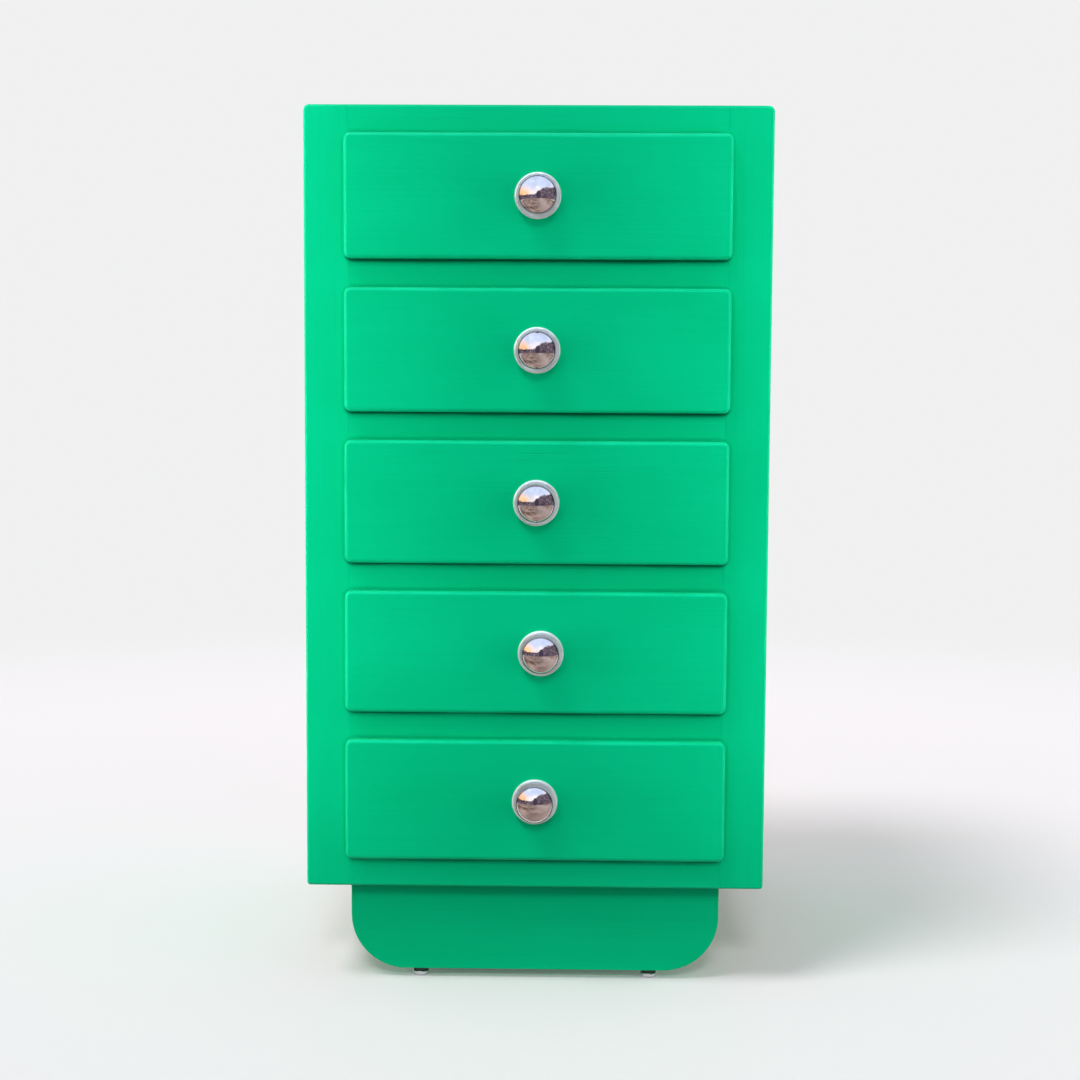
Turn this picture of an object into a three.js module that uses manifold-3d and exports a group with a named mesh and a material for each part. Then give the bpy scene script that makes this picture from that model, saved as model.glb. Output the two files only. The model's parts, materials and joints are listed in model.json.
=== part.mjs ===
// Narrow chest of drawers in painted timber: a framed case on a set-back plinth, with lipped drawers
// and round metal knobs. Millimetres, +Z up. The drawers open towards -Y.
import * as THREE from "three";
import { mergeVertices } from "three/addons/utils/BufferGeometryUtils.js";
import Module from "manifold-3d";

const wasm = await Module();
wasm.setup();

// Overall sizes
const CASE_WIDTH = 400;
const CASE_DEPTH = 420;
const CASE_HEIGHT = 676;
const DRAWER_COUNT = 5;

// Case boards
const PANEL = 18; // sides, top and bottom
const BACK_PLY = 6;
const REBATE = 9; // how far a rebate or housing is cut into a panel
const TOP_CORNER = 5; // rounding of the upper long edges
const BOTTOM_CORNER = 3;

// Face frame
const FRAME_THICK = 19;
const STILE_WIDTH = 38;
const TOP_RAIL = 27;
const MID_RAIL = 30;
const BOTTOM_RAIL = 29;
const TENON_LENGTH = 18;
const TENON_THICK = 6.5;
const TENON_SHOULDER = 6; // above and below each tenon

// Runner frames behind the stiles
const RUNNER_UPRIGHT = 45; // depth of each upright
const RUNNER_REACH = 12; // how far a runner stands in from the edge of the opening

// Plinth and glides
const PLINTH_HEIGHT = 80;
const PLINTH_BOARD = 20;
const PLINTH_SETBACK = 20;
const PLINTH_INSET = 37; // each end of the plinth, in from the case side
const PLINTH_CORNER = 49;
const BEARER_LIFT = 4; // the bearers stop this far above the lower edge of the plinth
const GLIDE_INSET = 12; // centre of a glide, in from the end of the plinth's straight edge
const GLIDE_HEIGHT = 8;
const GLIDE_CAP = 4.2; // height of the cap alone
const GLIDE_RADIUS = 7.5;
const GLIDE_NECK = 5.9; // radius above the cap
const GLIDE_FLAT = 4.65; // radius of the flat that stands on the floor
const NAIL_RADIUS = 1.3;
const NAIL_LENGTH = 16;

// Drawers
const FRONT_PROUD = 10; // how far the lip stands in front of the face frame
const FRONT_TONGUE = 10; // the part of the front that enters the opening
const FRONT_LAP = 3; // how far the lip covers the frame
const FRONT_CORNER = 5;
const FRONT_EASE = 2.5; // rounding of the lip's front edge
const SIDE_THICK = 11;
const BACK_THICK = 10;
const BACK_DROP = 8; // top of the back below the top of the sides
const SIDE_TAIL = 8; // length of the sides behind the back
const DRAWER_PLY = 5;
const PLY_LIFT = 9; // under-side of a drawer's bottom above the lower edge of its sides
const GROOVE_DEPTH = 5;
const BEHIND_DRAWER = 26; // free depth between a drawer and the back panel
const TAIL_COUNT = 2;

// Knobs and backplates
const KNOB_RADIUS = 16;
const KNOB_RISE = 20; // crown of the dome above the backplate
const KNOB_FOOT = 7; // radius where it meets the backplate
const KNOB_WAIST = 6;
const PLATE_RADIUS = 20.5;
const PLATE_RIM = 3.1; // height of the rolled rim
const PLATE_FLOOR = 1.4; // metal under the dish
const STUD_RADIUS = 2;
const STUD_LENGTH = 14;
const OFF_CENTRE = { 4: 4.5 }; // drawer number: how far its knob stands to the right of the middle

// Clearances
const GLUE = 0.3; // between pieces that are fixed together
const RUN = 1; // each side of a drawer
const HEADROOM = 4; // over a drawer's sides

const OPEN_WIDTH = CASE_WIDTH - 2 * STILE_WIDTH;
const OPEN_HEIGHT =
  (CASE_HEIGHT - TOP_RAIL - BOTTOM_RAIL - (DRAWER_COUNT - 1) * MID_RAIL) / DRAWER_COUNT;
const PITCH = OPEN_HEIGHT + MID_RAIL;
const CASE_BASE = GLIDE_HEIGHT + PLINTH_HEIGHT;
const CASE_TOP = CASE_BASE + CASE_HEIGHT;
const HALF_CASE = CASE_WIDTH / 2;
const HALF_OPEN = OPEN_WIDTH / 2;
const INSIDE = HALF_CASE - PANEL; // centre line to the inner face of a case side
const CARCASE_FRONT = FRAME_THICK + GLUE;
const BACK_FACE = CASE_DEPTH - BACK_PLY; // front face of the back panel

// The lower edge of the opening of drawer n, counted from the top.
const openingBase = (n) => CASE_BASE + BOTTOM_RAIL + (DRAWER_COUNT - n) * PITCH;

// ---- shape helpers ----

function solid(geometry) {
  const plain = new THREE.BufferGeometry().setAttribute(
    "position",
    (geometry.index ? geometry.toNonIndexed() : geometry).getAttribute("position"),
  );
  const merged = mergeVertices(plain, 1e-4);
  return new wasm.Manifold(
    new wasm.Mesh({
      numProp: 3,
      vertProperties: merged.getAttribute("position").array,
      triVerts: new Uint32Array(merged.index.array),
    }),
  );
}

function box(x0, x1, y0, y1, z0, z1) {
  return solid(
    new THREE.BoxGeometry(x1 - x0, y1 - y0, z1 - z0).translate(
      (x0 + x1) / 2,
      (y0 + y1) / 2,
      (z0 + z1) / 2,
    ),
  );
}

// A shape drawn in X and Z (seen from the front), running from y0 back to y1.
function alongY(shape, y0, y1, curveSegments = 5) {
  const g = new THREE.ExtrudeGeometry(shape, {
    depth: y1 - y0,
    bevelEnabled: false,
    curveSegments,
  });
  return solid(g.rotateX(Math.PI / 2).translate(0, y1, 0));
}

// A shape drawn in Y and Z, running from x0 to x1.
function alongX(shape, x0, x1) {
  const g = new THREE.ExtrudeGeometry(shape, { depth: x1 - x0, bevelEnabled: false });
  return solid(g.rotateX(Math.PI / 2).rotateZ(Math.PI / 2).translate(x0, 0, 0));
}

// A rectangle whose corners take the radii [lower left, lower right, upper right, upper left].
function roundedRect(x0, x1, z0, z1, [ll, lr, ur, ul]) {
  const s = new THREE.Shape().moveTo(x0 + ll, z0).lineTo(x1 - lr, z0);
  if (lr) s.absarc(x1 - lr, z0 + lr, lr, -Math.PI / 2, 0, false);
  s.lineTo(x1, z1 - ur);
  if (ur) s.absarc(x1 - ur, z1 - ur, ur, 0, Math.PI / 2, false);
  s.lineTo(x0 + ul, z1);
  if (ul) s.absarc(x0 + ul, z1 - ul, ul, Math.PI / 2, Math.PI, false);
  s.lineTo(x0, z0 + ll);
  if (ll) s.absarc(x0 + ll, z0 + ll, ll, Math.PI, 1.5 * Math.PI, false);
  return s;
}

const polygon = (points) => new THREE.Shape(points.map(([a, b]) => new THREE.Vector2(a, b)));

// A body of revolution about Y pointing to -Y: profile of [radius, height in front], bottom to top.
function turnedForward(profile, segments = 20) {
  const points = profile.map(([r, h]) => new THREE.Vector2(r, h));
  return solid(new THREE.LatheGeometry(points, segments).rotateX(Math.PI));
}

// The same about Z, standing up.
function turnedUpright(profile, segments = 16) {
  const points = profile.map(([r, h]) => new THREE.Vector2(r, h));
  return solid(new THREE.LatheGeometry(points, segments).rotateX(Math.PI / 2));
}

// A blind bore's cutter, starting just outside the face it is cut from.
const bore = (radius, depth, turned) =>
  turned(
    [
      [0, -1],
      [radius, -1],
      [radius, depth + 1],
      [0, depth + 1],
    ],
    12,
  );

const mirrorX = (s) => s.mirror([1, 0, 0]);

// ---- materials ----

const PAINT = { color: 0x00b07a, roughness: 0.38, metalness: 0 };
const PINE = { color: 0xd9b27c, roughness: 0.6, metalness: 0 };
const PLY = { color: 0xc9a26c, roughness: 0.65, metalness: 0 };
const CHROME = { color: 0xd8dadc, roughness: 0.06, metalness: 1 };
const PLATED = { color: 0xc9cccf, roughness: 0.22, metalness: 1 };
const STEEL = { color: 0xb9bcc0, roughness: 0.25, metalness: 1 };

const group = new THREE.Group();

function put(name, shape, look) {
  const m = shape.getMesh();
  const at = new Float32Array(m.numVert * 3);
  for (let i = 0; i < m.numVert; i++)
    at.set(m.vertProperties.subarray(i * m.numProp, i * m.numProp + 3), i * 3);
  const g = new THREE.BufferGeometry()
    .setAttribute("position", new THREE.BufferAttribute(at, 3))
    .setIndex(new THREE.BufferAttribute(m.triVerts, 1))
    .toNonIndexed();
  g.computeVertexNormals();
  const mesh = new THREE.Mesh(g, new THREE.MeshStandardMaterial(look));
  mesh.name = name;
  group.add(mesh);
}

function putPair(name, right, look) {
  put(name + "_right", right, look);
  put(name + "_left", mirrorX(right), look);
}

// ---- case ----

const sideTop = CASE_TOP - PANEL - GLUE;
const sidePanel = alongY(
  roundedRect(INSIDE, HALF_CASE, CASE_BASE, sideTop, [0, BOTTOM_CORNER, 0, 0]),
  CARCASE_FRONT,
  CASE_DEPTH,
)
  .subtract(
    box(INSIDE - 1, INSIDE + REBATE, BACK_FACE - GLUE, CASE_DEPTH + 1, CASE_BASE - 1, CASE_TOP),
  )
  .subtract(
    box(INSIDE - 1, INSIDE + REBATE, 0, CASE_DEPTH + 1, CASE_BASE - 1, CASE_BASE + PANEL + GLUE),
  );
putPair("side", sidePanel, PAINT);

put(
  "top_panel",
  alongY(
    roundedRect(-HALF_CASE, HALF_CASE, CASE_TOP - PANEL, CASE_TOP, [0, 0, TOP_CORNER, TOP_CORNER]),
    CARCASE_FRONT,
    CASE_DEPTH,
  ).subtract(
    box(
      -INSIDE - REBATE,
      INSIDE + REBATE,
      BACK_FACE - GLUE,
      CASE_DEPTH + 1,
      CASE_TOP - PANEL - 1,
      CASE_TOP - PANEL + REBATE,
    ),
  ),
  PAINT,
);

put(
  "bottom_panel",
  box(
    -INSIDE - REBATE + GLUE,
    INSIDE + REBATE - GLUE,
    CARCASE_FRONT,
    BACK_FACE - GLUE,
    CASE_BASE,
    CASE_BASE + PANEL,
  ),
  PINE,
);

put(
  "back_panel",
  box(
    -INSIDE - REBATE + GLUE,
    INSIDE + REBATE - GLUE,
    BACK_FACE,
    CASE_DEPTH,
    CASE_BASE,
    CASE_TOP - PANEL + REBATE - GLUE,
  ),
  PLY,
);

// ---- face frame ----

// Every rail as [lower edge, upper edge], from the bottom up.
const rails = [[CASE_BASE, CASE_BASE + BOTTOM_RAIL]];
for (let n = DRAWER_COUNT; n > 1; n--) {
  const z = openingBase(n) + OPEN_HEIGHT;
  rails.push([z, z + MID_RAIL]);
}
rails.push([CASE_TOP - TOP_RAIL, CASE_TOP]);

// The tenon on a rail, or its mortise when slack is given.
function tenon([z0, z1], x0, x1, slack) {
  const front = (FRAME_THICK - TENON_THICK) / 2;
  return box(
    x0,
    x1,
    front - slack,
    front + TENON_THICK + slack,
    z0 + TENON_SHOULDER - slack,
    z1 - TENON_SHOULDER + slack,
  );
}

let stile = alongY(
  roundedRect(HALF_OPEN, HALF_CASE, CASE_BASE, CASE_TOP, [0, BOTTOM_CORNER, TOP_CORNER, 0]),
  0,
  FRAME_THICK,
);
for (const rail of rails)
  stile = stile.subtract(tenon(rail, HALF_OPEN - 1, HALF_OPEN + TENON_LENGTH + GLUE, GLUE));
putPair("stile", stile, PAINT);

rails.forEach((rail, i) => {
  const reach = HALF_OPEN - GLUE;
  const board = box(-reach, reach, 0, FRAME_THICK, rail[0], rail[1]).add(
    tenon(rail, -HALF_OPEN - TENON_LENGTH, HALF_OPEN + TENON_LENGTH, 0),
  );
  const name = i === 0 ? "bottom" : i === DRAWER_COUNT ? "top" : "mid_" + (DRAWER_COUNT - i);
  put("rail_" + name, board, PAINT);
});

// ---- runner frames: upright packing pieces with a runner at the height of each rail ----

const ladderFront = CARCASE_FRONT;
const ladderRear = BACK_FACE - GLUE;
const floorTop = CASE_BASE + PANEL + GLUE;
const ceiling = CASE_TOP - PANEL - GLUE;
const upright = (y0) =>
  box(HALF_OPEN, INSIDE - GLUE, y0, y0 + RUNNER_UPRIGHT, floorTop, ceiling);
let ladder = upright(ladderFront).add(upright(ladderRear - RUNNER_UPRIGHT));
for (const [z0, z1] of rails)
  ladder = ladder.add(
    box(
      HALF_OPEN - RUNNER_REACH,
      INSIDE - GLUE,
      ladderFront,
      ladderRear,
      Math.max(z0, floorTop),
      Math.min(z1, ceiling),
    ),
  );
putPair("runners", ladder, PINE);

// ---- plinth ----

const plinthHalf = HALF_CASE - PLINTH_INSET;
const plinthTop = CASE_BASE - GLUE;
const plinthRear = CASE_DEPTH - PLINTH_SETBACK;
const glideX = plinthHalf - PLINTH_CORNER - GLIDE_INSET;
const nailBore = NAIL_RADIUS + GLUE;

function plinthBoard(y0) {
  let board = alongY(
    roundedRect(-plinthHalf, plinthHalf, GLIDE_HEIGHT, plinthTop, [
      PLINTH_CORNER,
      PLINTH_CORNER,
      0,
      0,
    ]),
    y0,
    y0 + PLINTH_BOARD,
    10,
  );
  for (const x of [-glideX, glideX])
    board = board.subtract(
      bore(nailBore, NAIL_LENGTH, turnedUpright).translate([
        x,
        y0 + PLINTH_BOARD / 2,
        GLIDE_HEIGHT,
      ]),
    );
  return board;
}
put("plinth_front", plinthBoard(PLINTH_SETBACK), PAINT);
put("plinth_rear", plinthBoard(plinthRear - PLINTH_BOARD), PAINT);

const bearer = box(
  glideX - PLINTH_BOARD / 2,
  glideX + PLINTH_BOARD / 2,
  PLINTH_SETBACK + PLINTH_BOARD + GLUE,
  plinthRear - PLINTH_BOARD - GLUE,
  GLIDE_HEIGHT + BEARER_LIFT,
  plinthTop,
);
putPair("plinth_bearer", bearer, PAINT);

const glide = turnedUpright([
  [0, 0],
  [GLIDE_FLAT, 0],
  [0.5 * (GLIDE_FLAT + GLIDE_RADIUS), 0.2 * GLIDE_CAP],
  [GLIDE_RADIUS, 0.6 * GLIDE_CAP],
  [GLIDE_RADIUS, GLIDE_CAP],
  [GLIDE_NECK, GLIDE_CAP + 0.5 * (GLIDE_RADIUS - GLIDE_NECK)],
  [GLIDE_NECK, GLIDE_HEIGHT - GLUE],
  [NAIL_RADIUS, GLIDE_HEIGHT - GLUE],
  [NAIL_RADIUS, GLIDE_HEIGHT + NAIL_LENGTH - 2 * NAIL_RADIUS],
  [0, GLIDE_HEIGHT + NAIL_LENGTH],
]);
for (const [end, y] of [
  ["front", PLINTH_SETBACK + PLINTH_BOARD / 2],
  ["rear", plinthRear - PLINTH_BOARD / 2],
])
  for (const [hand, x] of [
    ["left", -glideX],
    ["right", glideX],
  ])
    put("glide_" + end + "_" + hand, glide.translate([x, y, 0]), STEEL);

// ---- drawers: each is built round x = 0 with z = 0 at the lower edge of its opening ----

const boxHalf = HALF_OPEN - RUN; // outer face of a drawer side
const sideInner = boxHalf - SIDE_THICK;
const sideHeight = OPEN_HEIGHT - HEADROOM;
const boxFront = FRONT_TONGUE + GLUE; // where the drawer sides' shoulders stand
const boxRear = BACK_FACE - BEHIND_DRAWER;
const backFront = boxRear - SIDE_TAIL - BACK_THICK;
const frontHalf = HALF_OPEN + FRONT_LAP;
const plyTop = PLY_LIFT + DRAWER_PLY;

// Tails on a drawer side, in Y and Z; their sockets when slack is given.
function tails(slack) {
  const cell = (sideHeight - 2 * GLUE) / (TAIL_COUNT + 0.5);
  const length = FRONT_TONGUE - 2 * GLUE;
  return Array.from({ length: TAIL_COUNT }, (_, i) => {
    const z = GLUE + (i + 0.75) * cell;
    const root = 0.22 * cell + slack;
    const tip = 0.3 * cell + slack;
    const y1 = boxFront + 1;
    const y0 = boxFront - GLUE - length - slack;
    return alongX(
      polygon([
        [y0, z - tip],
        [y1, z - root],
        [y1, z + root],
        [y0, z + tip],
      ]),
      sideInner - slack,
      boxHalf + (slack ? RUN + GLUE : 0),
    );
  });
}

// The lip: a rounded board with its front edge eased in two steps.
const lipRadius = Array(4).fill(FRONT_CORNER);
const lipOutline = (inset) =>
  roundedRect(
    -frontHalf + inset,
    frontHalf - inset,
    -FRONT_LAP + inset,
    OPEN_HEIGHT + FRONT_LAP - inset,
    lipRadius.map((r) => r - inset),
  );

// Each step is the hull of the outlines at its two ends, drawn as one closed band.
function easedBoard(steps) {
  const rings = steps.map(([inset, y]) =>
    lipOutline(inset)
      .extractPoints(4)
      .shape.filter((p, i, all) => p.distanceTo(all[(i + 1) % all.length]) > 1e-6)
      .map((p) => [p.x, y, p.y]),
  );
  const n = rings[0].length;
  const at = rings.flat(2);
  const faces = [];
  for (let k = 0; k + 1 < rings.length; k++)
    for (let i = 0; i < n; i++) {
      const j = (i + 1) % n;
      const [a, b, c, d] = [k * n + i, k * n + j, (k + 1) * n + j, (k + 1) * n + i];
      faces.push(a, b, c, a, c, d);
    }
  const last = (rings.length - 1) * n;
  for (let i = 1; i + 1 < n; i++) {
    faces.push(0, i + 1, i);
    faces.push(last, last + i, last + i + 1);
  }
  const g = new THREE.BufferGeometry().setAttribute(
    "position",
    new THREE.Float32BufferAttribute(at, 3),
  );
  return solid(g.setIndex(faces));
}

const lip = easedBoard([
  [0, -GLUE],
  [0, -FRONT_PROUD + FRONT_EASE],
  [0.3 * FRONT_EASE, -FRONT_PROUD + 0.3 * FRONT_EASE],
  [FRONT_EASE, -FRONT_PROUD],
]);

let frontBody = lip.add(
  box(-boxHalf, boxHalf, -GLUE - 1, FRONT_TONGUE, RUN, OPEN_HEIGHT - RUN),
);
for (const socket of tails(GLUE))
  frontBody = frontBody.subtract(socket).subtract(mirrorX(socket));
frontBody = frontBody.subtract(
  box(
    -sideInner - GROOVE_DEPTH - GLUE,
    sideInner + GROOVE_DEPTH + GLUE,
    FRONT_TONGUE - GROOVE_DEPTH - GLUE,
    FRONT_TONGUE + 1,
    PLY_LIFT,
    plyTop + 2 * GLUE,
  ),
);

let drawerSide = box(sideInner, boxHalf, boxFront, boxRear, GLUE, GLUE + sideHeight);
for (const tail of tails(0)) drawerSide = drawerSide.add(tail);
drawerSide = drawerSide
  .subtract(
    box(sideInner - 1, sideInner + GROOVE_DEPTH, 0, boxRear + 1, PLY_LIFT, plyTop + 2 * GLUE),
  )
  .subtract(
    box(
      sideInner - 1,
      sideInner + GROOVE_DEPTH,
      backFront - GLUE,
      backFront + BACK_THICK + GLUE,
      PLY_LIFT,
      OPEN_HEIGHT,
    ),
  );

const drawerBack = box(
  -sideInner - GROOVE_DEPTH + GLUE,
  sideInner + GROOVE_DEPTH - GLUE,
  backFront,
  backFront + BACK_THICK,
  plyTop + 2 * GLUE,
  GLUE + sideHeight - BACK_DROP,
);

const drawerBottom = box(
  -sideInner - GROOVE_DEPTH + GLUE,
  sideInner + GROOVE_DEPTH - GLUE,
  FRONT_TONGUE - GROOVE_DEPTH,
  backFront + BACK_THICK,
  PLY_LIFT + GLUE,
  plyTop + GLUE,
);

// Heights are measured forward from the face of the drawer front.
const studBore = STUD_RADIUS + GLUE;
const studHole = bore(studBore, STUD_LENGTH, turnedForward).mirror([0, 1, 0]);

const P = PLATE_RADIUS;
const plate = turnedForward([
  [studBore, GLUE],
  [P - 0.4, GLUE],
  [P, GLUE + 0.25 * PLATE_RIM],
  [P - 0.3, GLUE + 0.75 * PLATE_RIM],
  [P - 1.5, GLUE + PLATE_RIM],
  [P - 3, GLUE + 0.85 * PLATE_RIM],
  [0.7 * P, GLUE + 0.55 * PLATE_RIM],
  [0.45 * P, GLUE + PLATE_FLOOR],
  [studBore, GLUE + PLATE_FLOOR],
  [studBore, GLUE],
]);

const K = KNOB_RADIUS;
const seat = 2 * GLUE + PLATE_FLOOR;
const wide = seat + 0.5 * KNOB_RISE; // where the dome is widest
const dome = [15, 32, 50, 68].map((deg) => {
  const a = (deg * Math.PI) / 180;
  return [K * Math.cos(a), wide + 0.5 * KNOB_RISE * Math.sin(a)];
});
const knob = turnedForward([
  [0, -STUD_LENGTH],
  [STUD_RADIUS, -STUD_LENGTH],
  [STUD_RADIUS, seat],
  [KNOB_FOOT, seat],
  [KNOB_WAIST, seat + 0.15 * KNOB_RISE],
  [KNOB_FOOT, seat + 0.26 * KNOB_RISE],
  [0.75 * K, seat + 0.34 * KNOB_RISE],
  [0.94 * K, seat + 0.4 * KNOB_RISE],
  [K, wide],
  ...dome,
  [0, seat + KNOB_RISE],
]);

for (let n = 1; n <= DRAWER_COUNT; n++) {
  const z = openingBase(n);
  const knobAt = [OFF_CENTRE[n] ?? 0, -FRONT_PROUD, OPEN_HEIGHT / 2];
  const up = [0, 0, z];
  const name = "drawer_" + n;
  put(name + "_front", frontBody.subtract(studHole.translate(knobAt)).translate(up), PAINT);
  putPair(name + "_side", drawerSide.translate(up), PINE);
  put(name + "_back", drawerBack.translate(up), PINE);
  put(name + "_bottom", drawerBottom.translate(up), PLY);
  put(name + "_backplate", plate.translate(knobAt).translate(up), PLATED);
  put(name + "_knob", knob.translate(knobAt).translate(up), CHROME);
}

// The origin is under the middle of the whole piece, knobs included.
const knobReach = FRONT_PROUD + seat + KNOB_RISE;
group.position.y = -(CASE_DEPTH - knobReach) / 2;
group.updateMatrixWorld(true);

export default group;
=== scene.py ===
"""Looks for the narrow painted chest of drawers: brushed paint over pine, bare drawer boxes, bright knobs."""
import json
import math

import bmesh
import bpy
from mathutils import Matrix, Vector, noise

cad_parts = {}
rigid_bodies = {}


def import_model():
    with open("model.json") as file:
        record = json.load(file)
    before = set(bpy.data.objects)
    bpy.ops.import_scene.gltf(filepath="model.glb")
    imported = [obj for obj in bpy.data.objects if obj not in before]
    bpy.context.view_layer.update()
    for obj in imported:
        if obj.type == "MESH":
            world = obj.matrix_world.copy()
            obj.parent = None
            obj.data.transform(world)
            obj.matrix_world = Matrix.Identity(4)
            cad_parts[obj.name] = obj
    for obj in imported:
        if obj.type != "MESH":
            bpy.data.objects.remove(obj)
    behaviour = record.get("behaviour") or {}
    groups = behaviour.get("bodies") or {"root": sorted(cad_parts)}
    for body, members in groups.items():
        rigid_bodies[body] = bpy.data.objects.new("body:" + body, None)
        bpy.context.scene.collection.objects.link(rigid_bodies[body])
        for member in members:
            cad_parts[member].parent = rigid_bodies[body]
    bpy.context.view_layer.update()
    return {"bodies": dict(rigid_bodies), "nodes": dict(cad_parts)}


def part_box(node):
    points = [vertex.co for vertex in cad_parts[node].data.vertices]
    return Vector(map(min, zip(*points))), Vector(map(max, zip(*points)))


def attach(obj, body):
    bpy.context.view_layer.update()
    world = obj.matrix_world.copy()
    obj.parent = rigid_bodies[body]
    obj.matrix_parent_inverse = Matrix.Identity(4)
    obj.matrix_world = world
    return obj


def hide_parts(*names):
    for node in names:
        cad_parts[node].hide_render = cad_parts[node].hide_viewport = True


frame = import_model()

scene = bpy.context.scene
MM = 0.001

# Sizes of the finish, in metres
OUTER_ROUND = 2.4 * MM  # long front edges of the case, sanded well back
SMALL_ROUND = 0.8 * MM  # edges that only had the sharpness taken off
PLANED_ROUND = 0.5 * MM
LIP_ROUND = 3.4 * MM
LIP_WANDER = 0.2 * MM  # how far a hand-sanded edge wanders
LIP_CORNER = 6.0 * MM
LIP_STEP = 7 * MM  # how close together a lip's points are
FLAT_AREA = 0.0006  # faces larger than this, in square metres, are dead flat
STUD_HOLE = 2.36 * MM
POLE = 1e-7  # a turned profile closer to its axis than this closes in a point
BACK_LET_IN = 0.3 * MM  # how far the back's rear face lies inside the case's
TWO_PLIES = 2.4 * MM  # a dark ply and a pale one together
PAINT_BRIDGE = 0.22 * MM  # paint and filler that close a glued joint
AT_STILE = 0.5 * MM  # what is this near a stile counts as the rail's end
TONGUE_ROOM = 0.6 * MM  # left clear round a drawer front's tongue
SHARP = 50  # degrees past which an edge is a real corner

DRAWERS = range(1, sum(body.startswith("drawer_") for body in frame["bodies"]) + 1)
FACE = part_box("stile_left")[0].y  # the plane of the face frame
CASE_LOW, CASE_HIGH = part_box("stile_left")[0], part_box("stile_right")[1]


# ---------------- shader helpers


VECTOR, FLOAT = "NodeSocketVector", "NodeSocketFloat"


def feed(tree, node, inputs):
    """Links a node's inputs, or sets those that are plain values."""
    for key, value in inputs.items():
        if isinstance(value, bpy.types.NodeSocket):
            tree.links.new(value, node.inputs[key])
        else:
            node.inputs[key].default_value = value
    return node


def add(tree, kind, inputs=None, **settings):
    """A node with its settings, its plain values and its links."""
    made = tree.nodes.new(kind)
    for key, value in settings.items():
        setattr(made, key, value)
    return feed(tree, made, inputs or {})


def group(name, values, masks):
    """An empty shader group: a vector and named values go in, named masks come out."""
    tree = bpy.data.node_groups.new(name, "ShaderNodeTree")
    tree.interface.new_socket("Vector", in_out="INPUT", socket_type=VECTOR)
    for label, value in values.items():
        tree.interface.new_socket(label, in_out="INPUT", socket_type=FLOAT).default_value = value
    for label in masks:
        tree.interface.new_socket(label, in_out="OUTPUT", socket_type=FLOAT)
    return tree, add(tree, "NodeGroupInput").outputs, add(tree, "NodeGroupOutput")


def use(tree, shared, inputs):
    """A shared group placed in a material, with this material's own values."""
    return add(tree, "ShaderNodeGroup", inputs, node_tree=shared).outputs


def maths(tree, operation, a, b=0.0, c=0.0, clamp=False):
    return add(tree, "ShaderNodeMath", {0: a, 1: b, 2: c}, operation=operation, use_clamp=clamp).outputs[0]


def times(tree, a, b):
    return maths(tree, "MULTIPLY", a, b)


def ramp(tree, value, low, high, out_low=0.0, out_high=1.0):
    """Value between low and high, spread smoothly over another range."""
    made = add(
        tree,
        "ShaderNodeMapRange",
        {"Value": value, "From Min": low, "From Max": high, "To Min": out_low, "To Max": out_high},
        interpolation_type="SMOOTHSTEP",
    )
    return made.outputs["Result"]


def blotches(tree, vector, scale, detail=2.0, rough=0.5):
    """Plain noise from 0 to 1."""
    look = {"Vector": vector, "Scale": scale, "Detail": detail, "Roughness": rough}
    return add(tree, "ShaderNodeTexNoise", look).outputs["Fac"]


def stretched(tree, vector, scale):
    return add(tree, "ShaderNodeVectorMath", {0: vector, 1: scale}, operation="MULTIPLY").outputs[0]


def axes(tree, vector):
    """A vector's X, Y and Z."""
    return add(tree, "ShaderNodeSeparateXYZ", {0: vector}).outputs


def length(tree, vector):
    return add(tree, "ShaderNodeVectorMath", {0: vector}, operation="LENGTH").outputs["Value"]


def blend_colour(tree, factor, first, second):
    inputs = {0: factor, 6: first, 7: second}
    return add(tree, "ShaderNodeMix", inputs, data_type="RGBA").outputs[2]


def edge_mark(tree):
    """The mark on a piece's rounded edges, where the finish gets its painted highlight and wear, and a knob
    its darkened rim.
    """
    return add(tree, "ShaderNodeAttribute", attribute_name="edge").outputs["Fac"]


# ---------------- shared effects


def timber_grain_group():
    """Year rings and fibres of sawn pine. X of the vector runs along the grain."""
    tree, given, out = group("Timber grain", {"Ring Width": 0.006, "Wander": 1.0}, ("Rings", "Fibres"))
    drift = blotches(tree, stretched(tree, given["Vector"], (2.2, 14.0, 14.0)), 1.0, 2.0)
    drift = times(tree, maths(tree, "SUBTRACT", drift, 0.5), given["Wander"])
    place = axes(tree, given["Vector"])
    across = maths(tree, "ADD", place["Z"], times(tree, place["Y"], 0.35))
    across = maths(tree, "ADD", across, times(tree, drift, 0.05))
    phase = maths(tree, "DIVIDE", across, given["Ring Width"])
    saw = maths(tree, "FRACT", phase)
    rings = maths(tree, "POWER", saw, 2.5)
    fade = ramp(tree, saw, 0.93, 1.0, 1.0, 0.0)
    fibres = blotches(tree, stretched(tree, given["Vector"], (18.0, 900.0, 900.0)), 1.0, 3.0, 0.6)
    feed(tree, out, {"Rings": times(tree, rings, fade), "Fibres": fibres})
    return tree


def brushed_paint_group():
    """Strokes left by a brush, drawn out along X, with the film's own slow drift."""
    tree, given, out = group(
        "Brushed paint", {"Bristle Width": 0.0016, "Stroke Length": 0.14}, ("Strokes", "Drift", "Stipple")
    )
    along = maths(tree, "DIVIDE", 1.0, given["Stroke Length"])
    across = maths(tree, "DIVIDE", 1.0, given["Bristle Width"])
    scale = add(tree, "ShaderNodeCombineXYZ", {"X": along, "Y": across, "Z": across}).outputs[0]
    strokes = blotches(tree, stretched(tree, given["Vector"], scale), 1.0, 4.0, 0.62)
    slow = blotches(tree, stretched(tree, given["Vector"], (5.0, 13.0, 13.0)), 1.0, 3.0, 0.55)
    stipple = blotches(tree, given["Vector"], 650.0, 2.0, 0.5)
    feed(tree, out, {"Strokes": strokes, "Drift": slow, "Stipple": stipple})
    return tree


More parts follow.
